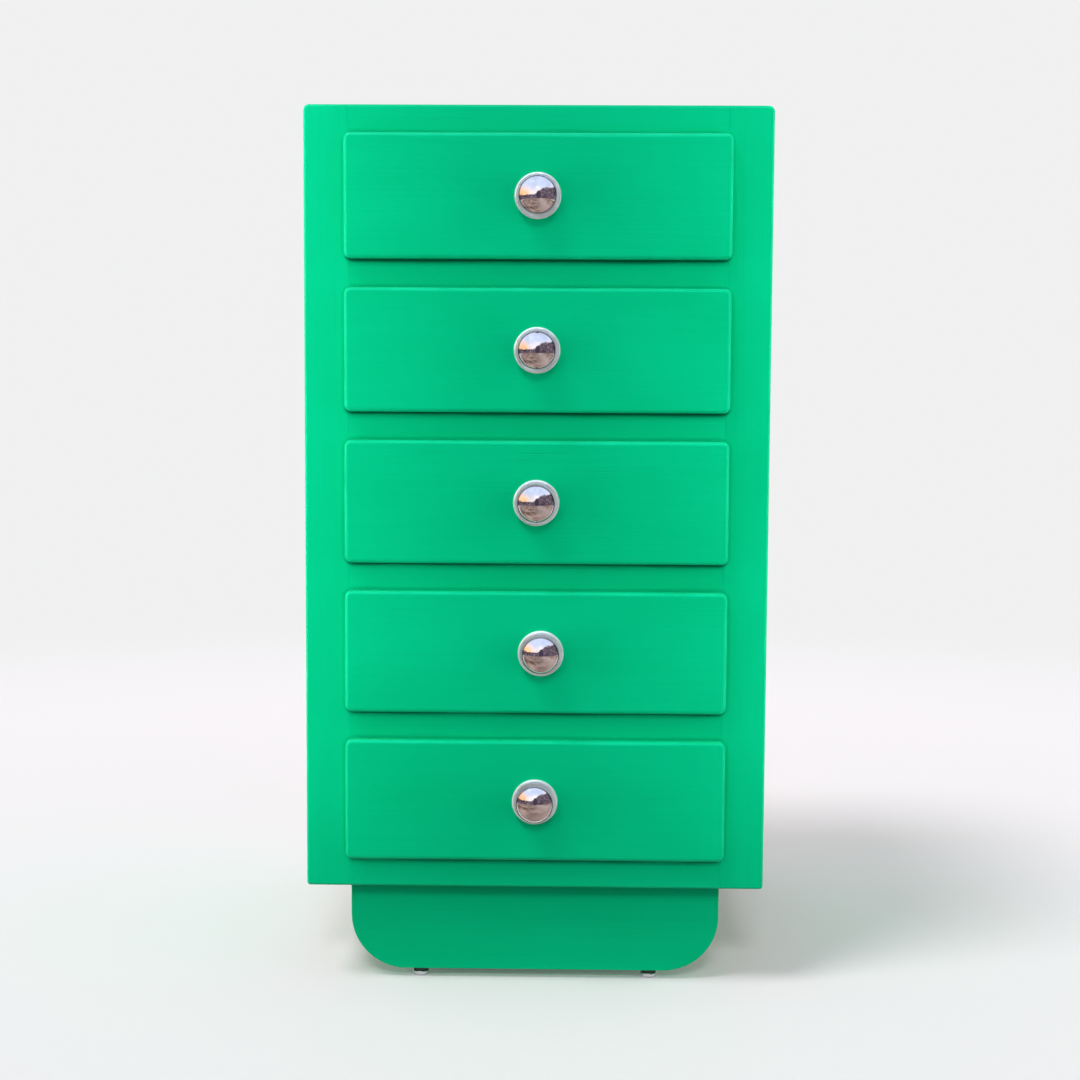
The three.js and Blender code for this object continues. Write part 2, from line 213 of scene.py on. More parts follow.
def edge_highlight_and_wear_group():
    """Turns a piece's own edge mark into masks: a patchy painted highlight along the rounded edges, and small
    nicks of wear.
    """
    tree, given, out = group("Edge highlight and wear", {"Edge": 0.0, "Amount": 0.5}, ("Edge Highlight", "Bare"))
    patches = blotches(tree, given["Vector"], 38.0, 4.0, 0.65)
    edge_highlight = times(tree, given["Edge"], ramp(tree, patches, 0.3, 0.7))
    nicks = blotches(tree, given["Vector"], 240.0, 3.0, 0.7)
    bare = times(tree, ramp(tree, nicks, 0.72, 0.78), given["Edge"])
    for name, mask in (("Edge Highlight", edge_highlight), ("Bare", bare)):
        feed(tree, out, {name: maths(tree, "MULTIPLY", mask, given["Amount"], clamp=True)})
    return tree


def fine_scratch_group():
    """Hairlines and smears on handled metal."""
    tree, given, out = group("Fine scratches", {"Closeness": 60.0}, ("Hairlines", "Smears"))
    lines = None
    for turn in (0.4, 1.5, 2.5):
        way = {"Vector": given["Vector"], "Angle": turn}
        way = add(tree, "ShaderNodeVectorRotate", way, rotation_type="Y_AXIS").outputs[0]
        streaks = blotches(tree, stretched(tree, way, (1.0, 30.0, 30.0)), given["Closeness"])
        streaks = ramp(tree, streaks, 0.70, 0.76)
        lines = streaks if lines is None else maths(tree, "MAXIMUM", lines, streaks)
    feed(tree, out, {"Hairlines": lines, "Smears": blotches(tree, given["Vector"], 90.0, 3.0, 0.6)})
    return tree


def settled_dust_group():
    """Dust on what faces up, thinner where it is wiped."""
    tree, given, out = group("Settled dust", {"Up": 0.0}, ("Dust",))
    specks = blotches(tree, given["Vector"], 420.0, 2.0, 0.7)
    wiped = blotches(tree, given["Vector"], 9.0, 3.0, 0.5)
    dust = times(tree, ramp(tree, specks, 0.45, 0.7), ramp(tree, wiped, 0.35, 0.7))
    feed(tree, out, {"Dust": times(tree, dust, ramp(tree, given["Up"], 0.6, 0.95))})
    return tree


def open_grain_group():
    """Sparse long lines, as thick as a hair, where paint sinks into the wood's open grain."""
    tree, given, out = group("Open grain lines", {"Amount": 1.0}, ("Lines",))
    lines = None
    for turn, (along, across) in ((0.3, (9.0, 620.0)), (2.1, (16.0, 880.0))):
        shift = (turn, turn, turn)
        shifted = add(tree, "ShaderNodeVectorMath", {0: given["Vector"], 1: shift}).outputs[0]
        drawn = blotches(tree, stretched(tree, shifted, (along, across, across)), 1.0, 1.5, 0.5)
        drawn = ramp(tree, drawn, 0.70, 0.77)
        lines = drawn if lines is None else maths(tree, "MAXIMUM", lines, drawn)
    where = blotches(tree, stretched(tree, given["Vector"], (7.0, 24.0, 24.0)), 1.0)
    lines = times(tree, lines, ramp(tree, where, 0.46, 0.62))
    feed(tree, out, {"Lines": times(tree, lines, given["Amount"])})
    return tree


def painted_shadow_line_group():
    """Painted shadow: a thin dark line on the frame round each lipped front, heaviest below, where the shadow
    gap under a front falls; it stays there when a drawer is open.
    """
    sizes = {"Half Width": 0.17, "Half Height": 0.05, "Lowest Middle": 0.15}
    sizes.update({"Pitch": 0.13, "Last": 4.0, "Corner": 0.008})
    tree, given, out = group("Painted shadow line", sizes, ("Line",))
    place = axes(tree, given["Vector"])
    rise = maths(tree, "SUBTRACT", place["Z"], given["Lowest Middle"])
    nearest = maths(tree, "ROUND", maths(tree, "DIVIDE", rise, given["Pitch"]))
    nearest = maths(tree, "MINIMUM", maths(tree, "MAXIMUM", nearest, 0.0), given["Last"])
    above = maths(tree, "SUBTRACT", rise, times(tree, nearest, given["Pitch"]))
    past = []
    for offset, half in ((place["X"], given["Half Width"]), (above, given["Half Height"])):
        straight = maths(tree, "SUBTRACT", half, given["Corner"])
        beyond = maths(tree, "SUBTRACT", maths(tree, "ABSOLUTE", offset), straight)
        past.append(maths(tree, "MAXIMUM", beyond, 0.0))
    past = add(tree, "ShaderNodeCombineXYZ", {"X": past[0], "Y": past[1]}).outputs[0]
    away = maths(tree, "SUBTRACT", length(tree, past), given["Corner"])
    wander = blotches(tree, stretched(tree, given["Vector"], (14.0, 14.0, 14.0)), 1.0, 3.0)
    reach = ramp(tree, wander, 0.3, 0.7, 0.0032, 0.0048)
    line = maths(tree, "SUBTRACT", 1.0, maths(tree, "DIVIDE", away, reach, clamp=True))
    under = maths(tree, "SUBTRACT", times(tree, above, -1.0), given["Half Height"])
    below = ramp(tree, under, -0.004, 0.001, 0.25, 1.0)
    feed(tree, out, {"Line": times(tree, ramp(tree, line, 0.0, 0.8), below)})
    return tree


TIMBER_GRAIN = timber_grain_group()
# painted shadow round each drawer front, for the face frame's paint
PAINTED_SHADOW_LINE = painted_shadow_line_group()
OPEN_GRAIN = open_grain_group()
BRUSHED_PAINT = brushed_paint_group()
EDGE_HIGHLIGHT_AND_WEAR = edge_highlight_and_wear_group()
FINE_SCRATCHES = fine_scratch_group()
SETTLED_DUST = settled_dust_group()

# ---------------- materials

# How a board is turned so that its grain lies along the pattern's X
GRAIN = {"x": (0, 0, 0), "y": (0, 0, -math.pi / 2), "z": (0, math.pi / 2, 0)}


def new_material(name):
    material = bpy.data.materials.new(name)
    material.use_nodes = True
    tree = material.node_tree
    return material, tree, tree.nodes["Principled BSDF"]


def own_place(tree, turn=(0, 0, 0)):
    """The piece's own coordinates, turned to its grain, and how far its surface faces up."""
    place = add(tree, "ShaderNodeTexCoord").outputs
    along = add(tree, "ShaderNodeMapping", {"Vector": place["Object"], "Rotation": turn})
    return along.outputs[0], axes(tree, place["Normal"])


def bump(tree, height, distance, strength=1.0, under=None):
    given = {"Height": height, "Distance": distance, "Strength": strength}
    if under is not None:
        given["Normal"] = under
    return add(tree, "ShaderNodeBump", given).outputs[0]


PAINT_DEEP = (0.0, 0.475, 0.189, 1)
PAINT_FULL = (0.0, 0.530, 0.225, 1)
# lighter green of the painted highlight on rounded edges
PAINT_EDGE_HIGHLIGHT = (0.004, 0.640, 0.310, 1)
PAINT_LINE = (0.0, 0.300, 0.105, 1)
# near-black green of the painted shadow round the drawer fronts
PAINTED_SHADOW_DARK = (0.0, 0.035, 0.012, 1)
PINE_PALE = (0.640, 0.440, 0.235, 1)
DUST = (0.50, 0.52, 0.48, 1)
# dark of a knob's rim: painted dark reflection, with tarnish in the undercut
DARK_RIM_AND_TARNISH = (0.10, 0.075, 0.095, 1)


def paint_shadow_line(tree, colour):
    """Darkens the face frame in a thin line round each drawer front: painted shadow of the gap where the
    fronts close on it.
    """
    low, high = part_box(f"drawer_{DRAWERS[-1]}_front")
    next_low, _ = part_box(f"drawer_{DRAWERS[-2]}_front")
    place, _ = own_place(tree)
    sizes = {"Vector": place, "Pitch": next_low.z - low.z, "Last": len(DRAWERS) - 1.0}
    sizes.update({"Half Width": high.x, "Half Height": (high.z - low.z) / 2})
    sizes["Lowest Middle"] = (high.z + low.z) / 2
    line = use(tree, PAINTED_SHADOW_LINE, sizes)["Line"]
    return blend_colour(tree, times(tree, line, 0.9), colour, PAINTED_SHADOW_DARK)


def green_paint(axis, with_shadow_line=False):
    """Satin green paint, brushed along the board, with a few open grain lines showing through."""
    material, tree, shader = new_material("green_paint_along_" + axis + ("_with_painted_shadow" if with_shadow_line else ""))
    place, facing = own_place(tree, GRAIN[axis])
    paint = use(tree, BRUSHED_PAINT, {"Vector": place, "Bristle Width": 0.0020, "Stroke Length": 0.20})
    grain = use(tree, TIMBER_GRAIN, {"Vector": place, "Ring Width": 0.0085, "Wander": 1.3})
    edge = edge_mark(tree)
    worn = use(tree, EDGE_HIGHLIGHT_AND_WEAR, {"Vector": place, "Edge": edge, "Amount": 0.5})
    dust = use(tree, SETTLED_DUST, {"Vector": place, "Up": facing["Z"]})
    tone = maths(tree, "MULTIPLY_ADD", paint["Strokes"], 0.35, times(tree, paint["Drift"], 0.65))
    colour = blend_colour(tree, ramp(tree, tone, 0.25, 0.75), PAINT_DEEP, PAINT_FULL)
    streaks = use(tree, OPEN_GRAIN, {"Vector": place, "Amount": 0.9})
    colour = blend_colour(tree, times(tree, streaks["Lines"], 0.22), colour, PAINT_LINE)
    # painted highlight: the paint lighter on the rounded edges, in patches
    colour = blend_colour(tree, worn["Edge Highlight"], colour, PAINT_EDGE_HIGHLIGHT)
    colour = blend_colour(tree, times(tree, worn["Bare"], 0.3), colour, PINE_PALE)
    colour = blend_colour(tree, times(tree, dust["Dust"], 0.05), colour, DUST)
    # the face frame's paint gets the painted shadow line round the drawer fronts
    if with_shadow_line:
        colour = paint_shadow_line(tree, colour)
    gloss = maths(tree, "MULTIPLY_ADD", paint["Drift"], 0.10, 0.33)
    gloss = maths(tree, "MULTIPLY_ADD", streaks["Lines"], 0.15, gloss)
    gloss = maths(tree, "MULTIPLY_ADD", dust["Dust"], 0.15, gloss)
    relief = bump(tree, grain["Rings"], 0.00010, 0.35)
    relief = bump(tree, streaks["Lines"], -0.00016, 0.8, relief)
    relief = bump(tree, paint["Strokes"], 0.00016, 0.45, relief)
    relief = bump(tree, paint["Stipple"], 0.00003, 0.4, relief)
    feed(tree, shader, {"Base Color": colour, "Roughness": gloss, "Normal": relief})
    feed(tree, shader, {"Specular IOR Level": 0.42, "Specular Tint": (0.04, 0.85, 1.0, 1)})
    return material


def bare_pine(axis):
    """Planed pine: rings and fibres along the board, end grain where it is cut across."""
    material, tree, shader = new_material("bare_pine_along_" + axis)
    place, facing = own_place(tree, GRAIN[axis])
    grain = use(tree, TIMBER_GRAIN, {"Vector": place, "Ring Width": 0.0062, "Wander": 1.6})
    edge = edge_mark(tree)
    worn = use(tree, EDGE_HIGHLIGHT_AND_WEAR, {"Vector": place, "Edge": edge, "Amount": 0.6})
    colour = blend_colour(tree, grain["Rings"], (0.66, 0.47, 0.26, 1), (0.42, 0.23, 0.095, 1))
    colour = blend_colour(tree, times(tree, grain["Fibres"], 0.35), colour, (0.74, 0.57, 0.36, 1))
    drift = blotches(tree, stretched(tree, place, (3.0, 20.0, 20.0)), 1.0, 3.0)
    colour = blend_colour(tree, ramp(tree, drift, 0.35, 0.75, 0.0, 0.4), colour, (0.55, 0.36, 0.18, 1))
    cut = ramp(tree, maths(tree, "ABSOLUTE", facing[axis.upper()]), 0.8, 0.95)
    colour = blend_colour(tree, times(tree, cut, 0.55), colour, (0.34, 0.20, 0.095, 1))
    # painted highlight: the pine lighter on its rounded edges, in patches
    colour = blend_colour(tree, times(tree, worn["Edge Highlight"], 0.5), colour, (0.70, 0.52, 0.31, 1))
    knots = {"Vector": stretched(tree, place, (5.0, 9.0, 9.0)), "Scale": 1.0}
    knots = add(tree, "ShaderNodeTexVoronoi", knots).outputs["Distance"]
    colour = blend_colour(tree, ramp(tree, knots, 0.03, 0.07, 0.8, 0.0), colour, (0.16, 0.065, 0.022, 1))
    gloss = maths(tree, "MULTIPLY_ADD", grain["Fibres"], 0.18, 0.50)
    relief = bump(tree, grain["Rings"], 0.00010, 0.6)
    relief = bump(tree, grain["Fibres"], 0.00014, 0.8, relief)
    feed(tree, shader, {"Base Color": colour, "Roughness": gloss, "Normal": relief, "Specular IOR Level": 0.3})
    return material


def plywood(axis, through):
    """Rotary-cut face veneer; the plies show as bands on the cut edges."""
    material, tree, shader = new_material("plywood_" + axis + "_" + through)
    place, facing = own_place(tree, GRAIN[axis])
    plain, _ = own_place(tree)
    figure = blotches(tree, stretched(tree, place, (2.6, 22.0, 22.0)), 1.0, 4.0, 0.6)
    grain = use(tree, TIMBER_GRAIN, {"Vector": place, "Ring Width": 0.021, "Wander": 3.0})
    colour = blend_colour(tree, ramp(tree, figure, 0.3, 0.7), (0.60, 0.43, 0.25, 1), (0.50, 0.33, 0.17, 1))
    colour = blend_colour(tree, times(tree, grain["Rings"], 0.35), colour, (0.38, 0.22, 0.10, 1))
    depth = axes(tree, plain)[through.upper()]
    ply = maths(tree, "SINE", times(tree, depth, 2 * math.pi / TWO_PLIES))
    flat = maths(tree, "ABSOLUTE", facing[through.upper()])
    on_edge = maths(tree, "SUBTRACT", 1.0, ramp(tree, flat, 0.5, 0.9))
    bands = times(tree, ramp(tree, ply, -0.3, 0.3), on_edge)
    colour = blend_colour(tree, times(tree, bands, 0.6), colour, (0.25, 0.145, 0.07, 1))
    gloss = maths(tree, "MULTIPLY_ADD", grain["Fibres"], 0.15, 0.55)
    relief = bump(tree, grain["Fibres"], 0.00010, 0.7)
    feed(tree, shader, {"Base Color": colour, "Roughness": gloss, "Normal": relief, "Specular IOR Level": 0.3})
    return material


def bright_metal(name, colour, polish, closeness, haze, metal=1.0):
    """Plated or polished metal with hairlines and finger smears; a marked rolled edge is darkened, a painted
    dark reflection there with tarnish in the undercut.
    """
    material, tree, shader = new_material(name)
    place, _ = own_place(tree)
    marks = use(tree, FINE_SCRATCHES, {"Vector": place, "Closeness": closeness})
    shade = tuple(0.82 * c for c in colour) + (1,)
    tint = blend_colour(tree, ramp(tree, marks["Smears"], 0.35, 0.7), colour + (1,), shade)
    # painted dark reflection on a knob's rolled edge, with tarnish in its undercut
    tint = blend_colour(tree, times(tree, edge_mark(tree), 0.86), tint, DARK_RIM_AND_TARNISH)
    rough = maths(tree, "MULTIPLY_ADD", marks["Smears"], haze, polish)
    rough = maths(tree, "MULTIPLY_ADD", marks["Hairlines"], 0.05, rough)
    relief = bump(tree, marks["Hairlines"], -0.00001, 0.35)
    feed(tree, shader, {"Base Color": tint, "Roughness": rough, "Normal": relief, "Metallic": metal})
    return material


def dark_rubber():
    material, tree, shader = new_material("dark_rubber")
    place, _ = own_place(tree)
    mottle = blotches(tree, place, 300.0, 3.0, 0.6)
    colour = blend_colour(tree, mottle, (0.012, 0.012, 0.013, 1), (0.035, 0.034, 0.033, 1))
    gloss = maths(tree, "MULTIPLY_ADD", mottle, 0.25, 0.55)
    feed(tree, shader, {"Base Color": colour, "Roughness": gloss, "Normal": bump(tree, mottle, 0.00005, 0.5)})
    return material


PAINT = {axis: green_paint(axis) for axis in "xyz"}
# paint for the face frame, with the painted shadow line round the drawer fronts
PAINT_WITH_SHADOW_LINE = {axis: green_paint(axis, with_shadow_line=True) for axis in "xz"}
PINE = {axis: bare_pine(axis) for axis in "xyz"}
PLY_BACK = plywood("z", "y")
PLY_BOTTOM = plywood("x", "z")
CHROME = bright_metal("polished_chrome", (0.84, 0.81, 0.84), 0.035, 70.0, 0.04)
PLATED = bright_metal("plated_dish", (0.88, 0.96, 1.0), 0.16, 190.0, 0.03, 0.5)
STEEL = bright_metal("glide_steel", (0.72, 0.73, 0.75), 0.12, 120.0, 0.12)
ZINC = bright_metal("zinc_screw", (0.66, 0.64, 0.58), 0.28, 150.0, 0.15)
RUBBER = dark_rubber()

# ---------------- mesh helpers


def cad_copy(node):
    """A CAD node's skin with its loose triangles merged and its flat faces whole."""
    bm = bmesh.new()
    bm.from_mesh(frame["nodes"][node].data)
    bmesh.ops.remove_doubles(bm, verts=bm.verts, dist=0.01 * MM)
    bmesh.ops.dissolve_limit(bm, angle_limit=math.radians(0.5), verts=bm.verts, edges=bm.edges)
    return bm


def middle(edge):
    return (edge.verts[0].co + edge.verts[1].co) / 2


def corner_edges(bm):
    """The edges where two faces meet at a real corner, standing out."""
    limit = math.radians(SHARP)
    return [e for e in bm.edges if e.is_manifold and e.calc_face_angle_signed(0) > limit]


def edge_layer(bm):
    return bm.verts.layers.float.get("edge") or bm.verts.layers.float.new("edge")


def ease(bm, edges, radius, steps=3):
    """Rounds edges over and marks the rounding, where the finish gets a painted highlight and its wear."""
    mark = edge_layer(bm)
    made = bmesh.ops.bevel(
        bm,
        geom=edges,
        offset=radius,
        offset_type="OFFSET",
        segments=steps,
        profile=0.5,
        affect="EDGES",
        clamp_overlap=True,
        loop_slide=True,
    )
    rounding = set(made["faces"])
    for vert in made["verts"]:
        vert[mark] = 1.0 if rounding.issuperset(vert.link_faces) else 0.0


def as_object(name, bm):
    """A bmesh made into an object at the origin."""
    mesh = bpy.data.meshes.new(name)
    bm.to_mesh(mesh)
    bm.free()
    made = bpy.data.objects.new(name, mesh)
    scene.collection.objects.link(made)
    return made


def finish_piece(name, bm, body, slot, material, *nodes):
    """Turns a bmesh into a finished piece that stands for its CAD nodes."""
    bm.normal_update()
    piece = as_object(name, bm)
    piece.data.materials.append(material)
    for face in piece.data.polygons:
        face.use_smooth = face.area < FLAT_AREA
    piece.data.set_sharp_from_angle(angle=math.radians(SHARP))
    weighted = piece.modifiers.new("even shading", "WEIGHTED_NORMAL")
    weighted.keep_sharp = True
    weighted.weight = 100
    settle(piece)
    return declare(piece, body, slot, *nodes)


def settle(piece):
    """Applies a piece's modifiers, so that what is left is a plain mesh."""
    evaluated = piece.evaluated_get(bpy.context.evaluated_depsgraph_get())
    plain = bpy.data.meshes.new_from_object(evaluated)
    plain.name = piece.name
    piece.modifiers.clear()
    piece.data = plain


def declare(piece, body, slot, *nodes):
    """Hides the CAD nodes that a piece replaces and hangs it on the body it rides on; the slot, what it is
    made of, is not used.
    """
    if nodes:
        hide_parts(*nodes)
    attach(piece, body)
    return piece


def across_middle(low, high):
    """The middle of a box, seen from the front."""
    return Vector(((low.x + high.x) / 2, 0, (low.z + high.z) / 2))


def turned(profile, steps, centre, forward=True):
    """A closed body of revolution: profile of (radius, height) from its low end to its high end."""
    bm = bmesh.new()
    rings = []
    turns = [2 * math.pi * i / steps for i in range(steps)]
    for radius, height in profile:
        around = turns if radius > POLE else turns[:1]
        rings.append([bm.verts.new((radius * math.cos(a), radius * math.sin(a), height)) for a in around])
    for low, high in zip(rings, rings[1:]):
        for i in range(steps):
            j = (i + 1) % steps
            face = [low[i % len(low)], low[j % len(low)], high[j % len(high)], high[i % len(high)]]
            bm.faces.new(list(dict.fromkeys(face)))
    if forward:
        bmesh.ops.rotate(bm, verts=bm.verts, matrix=Matrix.Rotation(math.pi / 2, 3, "X"))
    bmesh.ops.translate(bm, verts=bm.verts, vec=centre)
    bmesh.ops.recalc_face_normals(bm, faces=bm.faces)
    return bm


def arc(centre, radii, start, end, steps):
    """Points on an ellipse in a profile, angles in degrees from the radius direction."""
    points = []
    for i in range(steps + 1):
        a = math.radians(start + (end - start) * i / steps)
        points.append((centre[0] + radii[0] * math.cos(a), centre[1] + radii[1] * math.sin(a)))
    return points


# ---------------- case


def near(value, target, slack=0.05 * MM):
    return abs(value - target) < slack


def long_front_edge(edge):
    """The case's outer front edges: both sides, the top and the lower edge."""
    place = middle(edge)
    outside = (
        near(abs(place.x), CASE_HIGH.x, 6 * MM)
        or near(place.z, CASE_HIGH.z, 6 * MM)
        or near(place.z, CASE_LOW.z, 4 * MM)
    )
    return near(place.y, FACE) and outside


def painted_board(node, axis, paints=PAINT):
    bm = cad_copy(node)
    ease(bm, [e for e in corner_edges(bm) if long_front_edge(e)], OUTER_ROUND, 5)
    ease(bm, corner_edges(bm), SMALL_ROUND, 2)
    return finish_piece(node + "_painted", bm, "case", "green_paint", paints[axis], node)


def painted_rail(node):
    """A rail, with the hair-line at each stile nearly closed by paint."""
    bm = cad_copy(node)
    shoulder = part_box("stile_right")[0].x
    for vert in bm.verts:
        if near(abs(vert.co.x), shoulder, AT_STILE):
            vert.co.x += math.copysign(PAINT_BRIDGE, vert.co.x)

    def free_edges():
        return [e for e in corner_edges(bm) if not near(abs(middle(e).x), shoulder, AT_STILE)]

    ease(bm, [e for e in free_edges() if long_front_edge(e)], OUTER_ROUND, 5)
    ease(bm, free_edges(), SMALL_ROUND, 2)
    return finish_piece(node + "_painted", bm, "case", "green_paint", PAINT_WITH_SHADOW_LINE["x"], node)


for hand in ("left", "right"):
    painted_board("stile_" + hand, "z", PAINT_WITH_SHADOW_LINE)
    painted_board("side_" + hand, "z")
    painted_board("plinth_bearer_" + hand, "y")
for rail in [n for n in frame["nodes"] if n.startswith("rail_")]:
    painted_rail(rail)
painted_board("top_panel", "x")
painted_board("plinth_front", "x")
painted_board("plinth_rear", "x")


def planed_board(node, material, body, slot, suffix="_planed", rear=None):
    """A bare board with its edges eased; rear says where its back face lies, if not where the CAD has it."""
    bm = cad_copy(node)
    for vert in bm.verts:
        if rear is not None and near(vert.co.y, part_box(node)[1].y, 0.01 * MM):
            vert.co.y = rear
    ease(bm, corner_edges(bm), PLANED_ROUND, 2)
    return finish_piece(node + suffix, bm, body, slot, material, node)


BACK_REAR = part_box("back_panel")[1].y - BACK_LET_IN
planed_board("bottom_panel", PINE["x"], "case", "bare_pine")
planed_board("back_panel", PLY_BACK, "case", "plywood", "_sawn", BACK_REAR)
for hand in ("left", "right"):
    planed_board("runners_" + hand, PINE["y"], "case", "bare_pine")

# ---------------- drawers


def rounded_outline(half, low, high, corner, steps):
    """Points round a board's outline, close together so that its edges can wander."""
    points = []
    for x, z, start in ((half, high, 0), (-half, high, 90), (-half, low, 180), (half, low, 270)):
        cx, cz = x - math.copysign(corner, x), z + (corner if z == low else -corner)
        points += arc((cx, cz), (corner, corner), start, start + 90, steps)
    whole = []
    for a, b in zip(points, points[1:] + points[:1]):
        parts = max(1, round(math.dist(a, b) / LIP_STEP))
        steps_along = (i / parts for i in range(parts))
        whole += [(a[0] + (b[0] - a[0]) * t, a[1] + (b[1] - a[1]) * t) for t in steps_along]
    return whole


def hand_sanded(x, z, seed):
    """From 0 to 1, slowly along the edge: how much more was sanded away there."""
    return 0.5 + 0.5 * noise.noise(Vector((x * 14, z * 14, 3.7 * seed)))


def lip_body(half, low, high, back, face, seed):
    """The lipped board of a drawer front, its face edge rounded by hand."""
    bm = bmesh.new()
    mark = edge_layer(bm)
    outline = rounded_outline(half, low, high, LIP_CORNER, 6)
    middle_z = (low + high) / 2
    steps = 7
    rings = []
    # the third value marks the rounding for the painted edge highlight and wear, most midway round it
    profile = [(LIP_WANDER + 0.5 * MM, back, 0), (0.15 * MM, back, 0), (0, back - 0.4 * MM, 0.2)]
    for i in range(steps + 1):
        a = math.pi / 2 * i / steps
        profile.append((LIP_ROUND * (1 - math.cos(a)), face + LIP_ROUND * (1 - math.sin(a)), math.sin(2 * a)))
    profile.append((LIP_ROUND + 0.4 * MM, face, 0))
    half_tall = (high - low) / 2
    for inset, y, edge_amount in profile:
        ring = []
        for x, z in outline:
            worn = hand_sanded(x, z, seed)
            pull = inset * (0.88 + 0.24 * worn) + LIP_WANDER * worn
            out_x = max(0.0, abs(x) - half + LIP_CORNER)
            out_z = max(0.0, abs(z - middle_z) - half_tall + LIP_CORNER)
            reach = math.hypot(out_x, out_z) or 1.0
            pull_x = math.copysign(pull * out_x / reach, x)
            pull_z = math.copysign(pull * out_z / reach, z - middle_z)
            vert = bm.verts.new((x - pull_x, y, z - pull_z))
            vert[mark] = edge_amount
            ring.append(vert)
        rings.append(ring)
    for low_ring, high_ring in zip(rings, rings[1:]):
        for i in range(len(low_ring)):
            j = (i + 1) % len(low_ring)
            bm.faces.new((low_ring[i], low_ring[j], high_ring[j], high_ring[i]))
    bm.faces.new(rings[0])
    bm.faces.new(rings[-1])
    bmesh.ops.recalc_face_normals(bm, faces=bm.faces)
    return bm


def block(low, high):
    """A plain block between two corners, used as a cutter."""
    bm = bmesh.new()
    bmesh.ops.create_cube(bm, size=1.0)
    for vert in bm.verts:
        vert.co = [lo if c < 0 else hi for c, lo, hi in zip(vert.co, low, high)]
    return bm


def joined(first, second, operation):
    """One bmesh from two closed ones."""
    body, tool = as_object("joined_body", first), as_object("joined_tool", second)
    boolean = body.modifiers.new("join", "BOOLEAN")
    boolean.operation, boolean.solver, boolean.object = operation, "EXACT", tool
    evaluated = body.evaluated_get(bpy.context.evaluated_depsgraph_get())
    bm = bmesh.new()
    bm.from_mesh(evaluated.to_mesh())
    for made in (body, tool):
        bpy.data.objects.remove(made)
    return bm


def painted_front(n):
    """A lipped drawer front: the rounded lip, with the tongue and its joints behind it."""
    drawer = f"drawer_{n}"
    node = drawer + "_front"
    low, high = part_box(node)
    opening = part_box("stile_right")[0].x
    lap = high.x - opening
    reach = Vector((opening - TONGUE_ROOM, high.y + 1 * MM, high.z - lap - TONGUE_ROOM))
    start = Vector((-reach.x, FACE - 1.5 * MM, low.z + lap + TONGUE_ROOM))
    tongue = joined(cad_copy(node), block(start, reach), "INTERSECT")
    lip = lip_body(high.x, low.z, high.z, FACE - 0.3 * MM, low.y, n)
    whole = joined(lip, tongue, "UNION")
    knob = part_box(drawer + "_knob")
    inner, outer = -knob[1].y - 0.4 * MM, -low.y + 1 * MM
    bore = [(0, inner), (STUD_HOLE, inner), (STUD_HOLE, outer), (0, outer)]
    bore = turned(bore, 32, across_middle(*knob))
    whole = joined(whole, bore, "DIFFERENCE")
    return finish_piece(node + "_painted", whole, drawer, "green_paint", PAINT["x"], node)


for n in DRAWERS:
    drawer = f"drawer_{n}"
    for hand in ("left", "right"):
        planed_board(f"{drawer}_side_{hand}", PINE["y"], drawer, "bare_pine")
    planed_board(f"{drawer}_back", PINE["x"], drawer, "bare_pine")
    planed_board(f"{drawer}_bottom", PLY_BOTTOM, drawer, "plywood", "_sawn")
    painted_front(n)

# ---------------- knobs and glides


def knob_profile(radius, foot_height, crown, stud_end):
    """From the tip of the screw to the crown: foot, waist, undercut, rolled edge and dome."""
    rim = 0.9 * MM
    dome_rise = 0.44 * radius
    edge = crown - dome_rise
    flat = radius - 0.5 * rim
    ball = (flat * flat + dome_rise * dome_rise) / (2 * dome_rise)
    lean = math.degrees(math.asin(flat / ball))
    return (
        [(0, stud_end), (1.2 * MM, stud_end + 1.5 * MM), (2 * MM, stud_end + 4 * MM), (2 * MM, foot_height)]
        + [(7 * MM, foot_height), (7 * MM, foot_height + 0.8 * MM)]
        + arc((7.6 * MM, foot_height + 4.0 * MM), (1.8 * MM, 3.2 * MM), 240, 130, 8)
        + arc((radius - 3.0 * MM, edge - 1.4 * MM), (2.2 * MM, 1.8 * MM), -100, -40, 5)
        + arc((radius - rim, edge - 0.35 * rim), (rim, rim), -50, 60, 6)
        + arc((0, crown - ball), (ball, ball), 90 - lean * 0.985, 90, 22)
    )


def mark_rim_and_undercut(bm, centre, low, high, near_y, far_y):
    """Marks a turned piece between two radii and two depths, its rolled edge and undercut, for darkening: a
    painted dark reflection on the edge, and tarnish in the undercut where polish never reaches.
    """
    mark = edge_layer(bm)
    for vert in bm.verts:
        away = math.hypot(vert.co.x - centre.x, vert.co.z - centre.z)
        vert[mark] = 1.0 if low < away < high and near_y < vert.co.y < far_y else 0.0


def plate_profile(radius, back, rim):
    """A dished ring: rolled rim, hollow dish, raised boss under the knob."""
    bore = 2.3 * MM
    return (
        [(bore, back), (radius - 0.5 * MM, back)]
        + arc((radius - 1.3 * MM, back + rim - 1.4 * MM), (1.3 * MM, 1.4 * MM), -45, 120, 12)
        + arc((radius - 5.2 * MM, back + 4.6 * MM), (3.6 * MM, 2.6 * MM), -15, -75, 8)
        + [(11 * MM, back + 1.65 * MM), (8.5 * MM, back + 1.4 * MM), (bore, back + 1.4 * MM), (bore, back)]
    )


